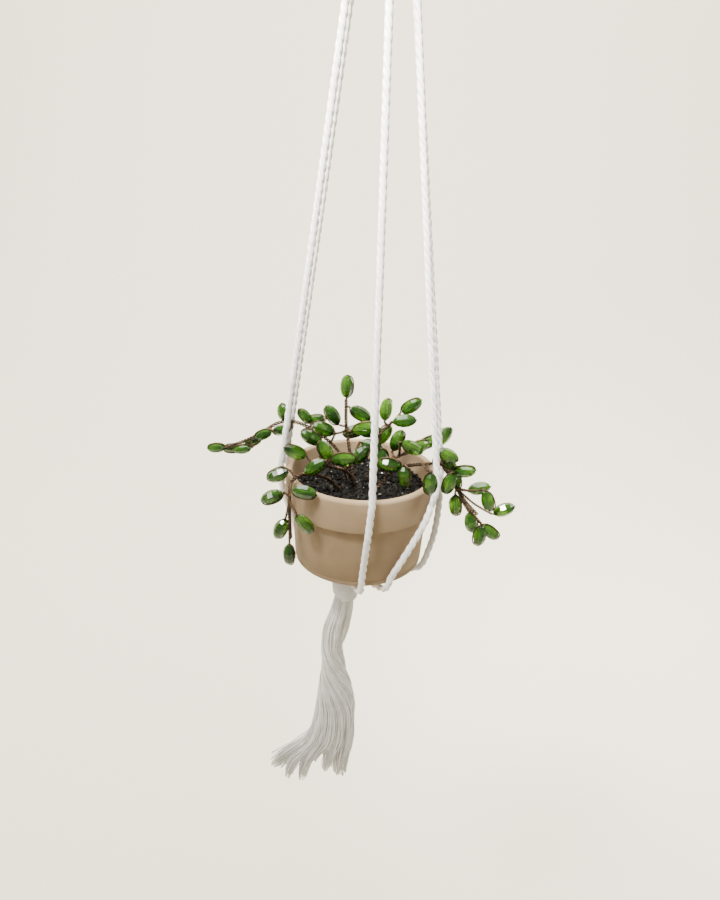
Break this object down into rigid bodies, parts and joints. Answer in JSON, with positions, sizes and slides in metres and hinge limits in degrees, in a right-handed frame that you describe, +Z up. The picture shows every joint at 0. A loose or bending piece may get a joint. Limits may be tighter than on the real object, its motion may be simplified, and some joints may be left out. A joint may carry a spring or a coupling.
{
  "type": "hanging macrame planter",
  "caption": "Small macrame hanger of twisted cotton cord carrying a terracotta pot with a glass-bead plant on wire, and a tassel below.",
  "frame": {"origin": "the inner top of the hanging ring, where a hook carries it", "axes": "+Z up, +X to the right seen from the front, -Y towards the viewer"},
  "size_m": [0.127, 0.0674, 0.4476],
  "materials": {
    "ring_steel": "satin",
    "cotton": "matt",
    "terracotta": "matt",
    "soil_granules": "rough",
    "green_glass": "polished",
    "bronze_wire": "dark"
  },
  "bodies": {
    "ring": {"hanging_ring": "ring_steel"},
    "hanger": {"bead_far_left_1": "green_glass", "bead_far_left_2": "green_glass", "bead_far_left_3": "green_glass", "bead_far_left_4": "green_glass", "bead_far_left_5": "green_glass", "bead_far_left_6": "green_glass", "bead_far_left_7": "green_glass", "bead_far_left_8": "green_glass", "bead_front_1": "green_glass", "bead_front_2": "green_glass", "bead_front_3": "green_glass", "bead_left_hanging_1": "green_glass", "bead_left_hanging_2": "green_glass", "bead_left_hanging_3": "green_glass", "bead_left_hanging_4": "green_glass", "bead_left_hanging_5": "green_glass", "bead_left_hanging_6": "green_glass", "bead_right_low_1": "green_glass", "bead_right_low_2": "green_glass", "bead_right_over_1": "green_glass", "bead_right_over_10": "green_glass", "bead_right_over_2": "green_glass", "bead_right_over_3": "green_glass", "bead_right_over_4": "green_glass", "bead_right_over_5": "green_glass", "bead_right_over_6": "green_glass", "bead_right_over_7": "green_glass", "bead_right_over_8": "green_glass", "bead_right_over_9": "green_glass", "bead_right_top_1": "green_glass", "bead_right_top_2": "green_glass", "bead_right_top_3": "green_glass", "bead_top_1": "green_glass", "bead_top_2": "green_glass", "bead_top_3": "green_glass", "gather_wrap": "cotton", "larks_head_left": "cotton", "larks_head_middle": "cotton", "larks_head_right": "cotton", "pot": "terracotta", "soil": "soil_granules", "strand_left_back": "cotton", "strand_left_front": "cotton", "strand_middle_back": "cotton", "strand_middle_front": "cotton", "strand_right_back": "cotton", "strand_right_front": "cotton", "wire_far_left": "bronze_wire", "wire_front": "bronze_wire", "wire_left_hanging": "bronze_wire", "wire_right_low": "bronze_wire", "wire_right_over": "bronze_wire", "wire_right_top": "bronze_wire", "wire_top": "bronze_wire"},
    "tassel": {"tassel": "cotton"}
  },
  "joints": [
    {"name": "hanger_swing", "type": "hinge", "parent": "ring", "child": "hanger", "pos_m": [0, 0, -0.0334], "axis": [0.342, 0.9397, 0], "range_deg": [-20, 20]},
    {"name": "tassel_swing", "type": "hinge", "parent": "hanger", "child": "tassel", "pos_m": [-0.0047, 0, -0.3445], "axis": [0, 1, 0], "range_deg": [-25, 25]}
  ]
}
